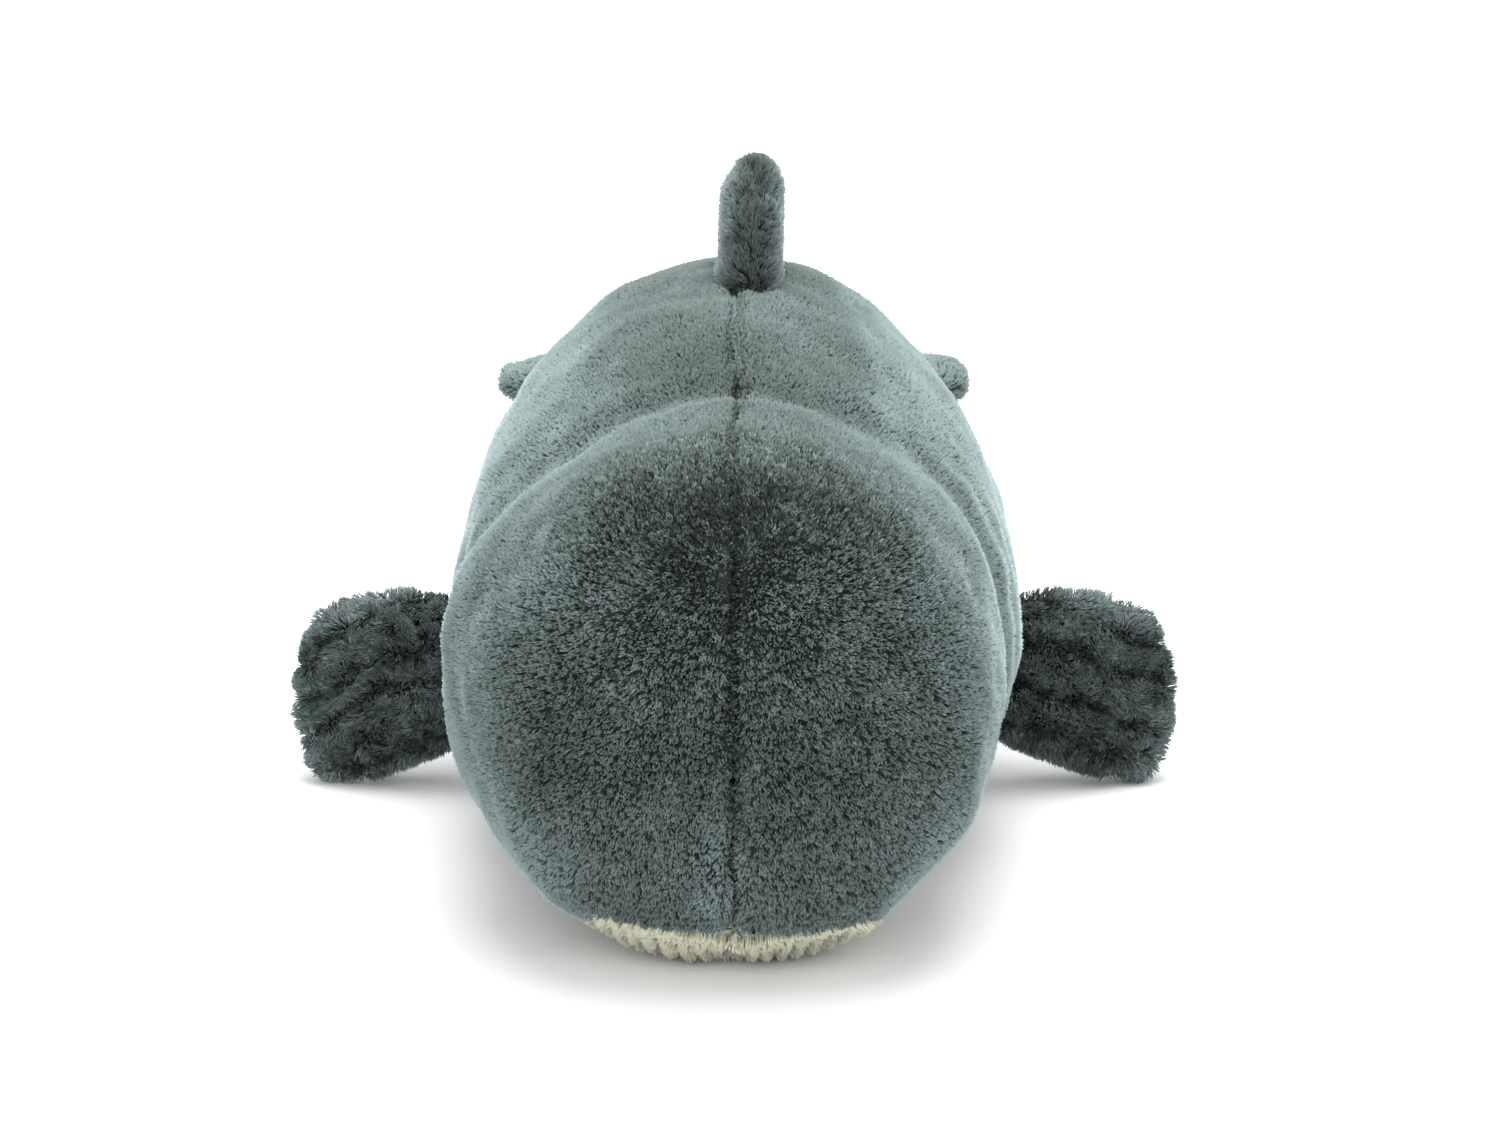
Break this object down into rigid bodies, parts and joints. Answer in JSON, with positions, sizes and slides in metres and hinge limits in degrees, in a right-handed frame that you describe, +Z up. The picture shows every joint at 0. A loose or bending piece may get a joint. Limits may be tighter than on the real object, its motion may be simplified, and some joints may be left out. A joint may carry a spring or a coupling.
{
  "type": "plush whale toy",
  "caption": "Stuffed whale lying on its belly: blunt pile-fabric body, ribbed cream underside, upright dorsal fin, two side flippers and a bending tail with horizontal flukes.",
  "frame": {"origin": "middle of the overall footprint, on the floor the toy lies on", "axes": "+Z up, the head faces -Y, +X is the toy's own left side"},
  "size_m": [0.4164, 0.52, 0.2865],
  "materials": {
    "grey_plush": "matte",
    "long_grey_plush": "matte",
    "cream_ribbed_plush": "matte",
    "fibre_fill": "matte",
    "pouch_cotton": "matte",
    "pellets": "satin",
    "eye_black": "gloss",
    "washer_plastic": "matte",
    "label_satin": "satin"
  },
  "bodies": {
    "body": {"body_panel_left": "grey_plush", "body_panel_right": "grey_plush", "belly_panel": "cream_ribbed_plush", "body_stuffing": "fibre_fill", "pouch_upper_panel": "pouch_cotton", "pouch_lower_panel": "pouch_cotton", "pouch_pellets": "pellets", "eye_left": "eye_black", "eye_right": "eye_black", "eye_washer_left": "washer_plastic", "eye_washer_right": "washer_plastic", "care_label": "label_satin"},
    "dorsal_fin": {"dorsal_fin_panel_left": "long_grey_plush", "dorsal_fin_panel_right": "long_grey_plush", "dorsal_fin_stuffing": "fibre_fill"},
    "flipper_left": {"flipper_left_front_panel": "long_grey_plush", "flipper_left_back_panel": "long_grey_plush", "flipper_left_stuffing": "fibre_fill"},
    "flipper_right": {"flipper_right_front_panel": "long_grey_plush", "flipper_right_back_panel": "long_grey_plush", "flipper_right_stuffing": "fibre_fill"},
    "tail": {"tail_panel_left": "grey_plush", "tail_panel_right": "grey_plush", "tail_belly_panel": "cream_ribbed_plush", "tail_stuffing": "fibre_fill"},
    "flukes": {"fluke_upper_panel": "grey_plush", "fluke_lower_panel": "grey_plush", "fluke_stuffing": "fibre_fill"}
  },
  "joints": [
    {"name": "dorsal_fin_lean", "type": "hinge", "parent": "body", "child": "dorsal_fin", "pos_m": [0.0072, -0.01, 0.254], "axis": [0, 1, 0], "range_deg": [-35, 35], "stiffness_Nm_per_rad": 0.1},
    {"name": "flipper_left_swing", "type": "hinge", "parent": "body", "child": "flipper_left", "pos_m": [0.123, -0.0195, 0.054], "axis": [-0.3499, -0.3353, -0.8747], "range_deg": [-5, 50], "stiffness_Nm_per_rad": 0.1},
    {"name": "flipper_right_swing", "type": "hinge", "parent": "body", "child": "flipper_right", "pos_m": [-0.123, -0.0195, 0.054], "axis": [-0.3499, 0.3353, 0.8747], "range_deg": [-5, 50], "stiffness_Nm_per_rad": 0.1},
    {"name": "tail_bend", "type": "hinge", "parent": "body", "child": "tail", "pos_m": [0, 0.15, 0.109], "axis": [1, 0, 0], "range_deg": [-10, 18], "stiffness_Nm_per_rad": 1.5},
    {"name": "fluke_flap", "type": "hinge", "parent": "tail", "child": "flukes", "pos_m": [0, 0.21, 0.116], "axis": [1, 0, 0], "range_deg": [-30, 45], "stiffness_Nm_per_rad": 0.15}
  ]
}
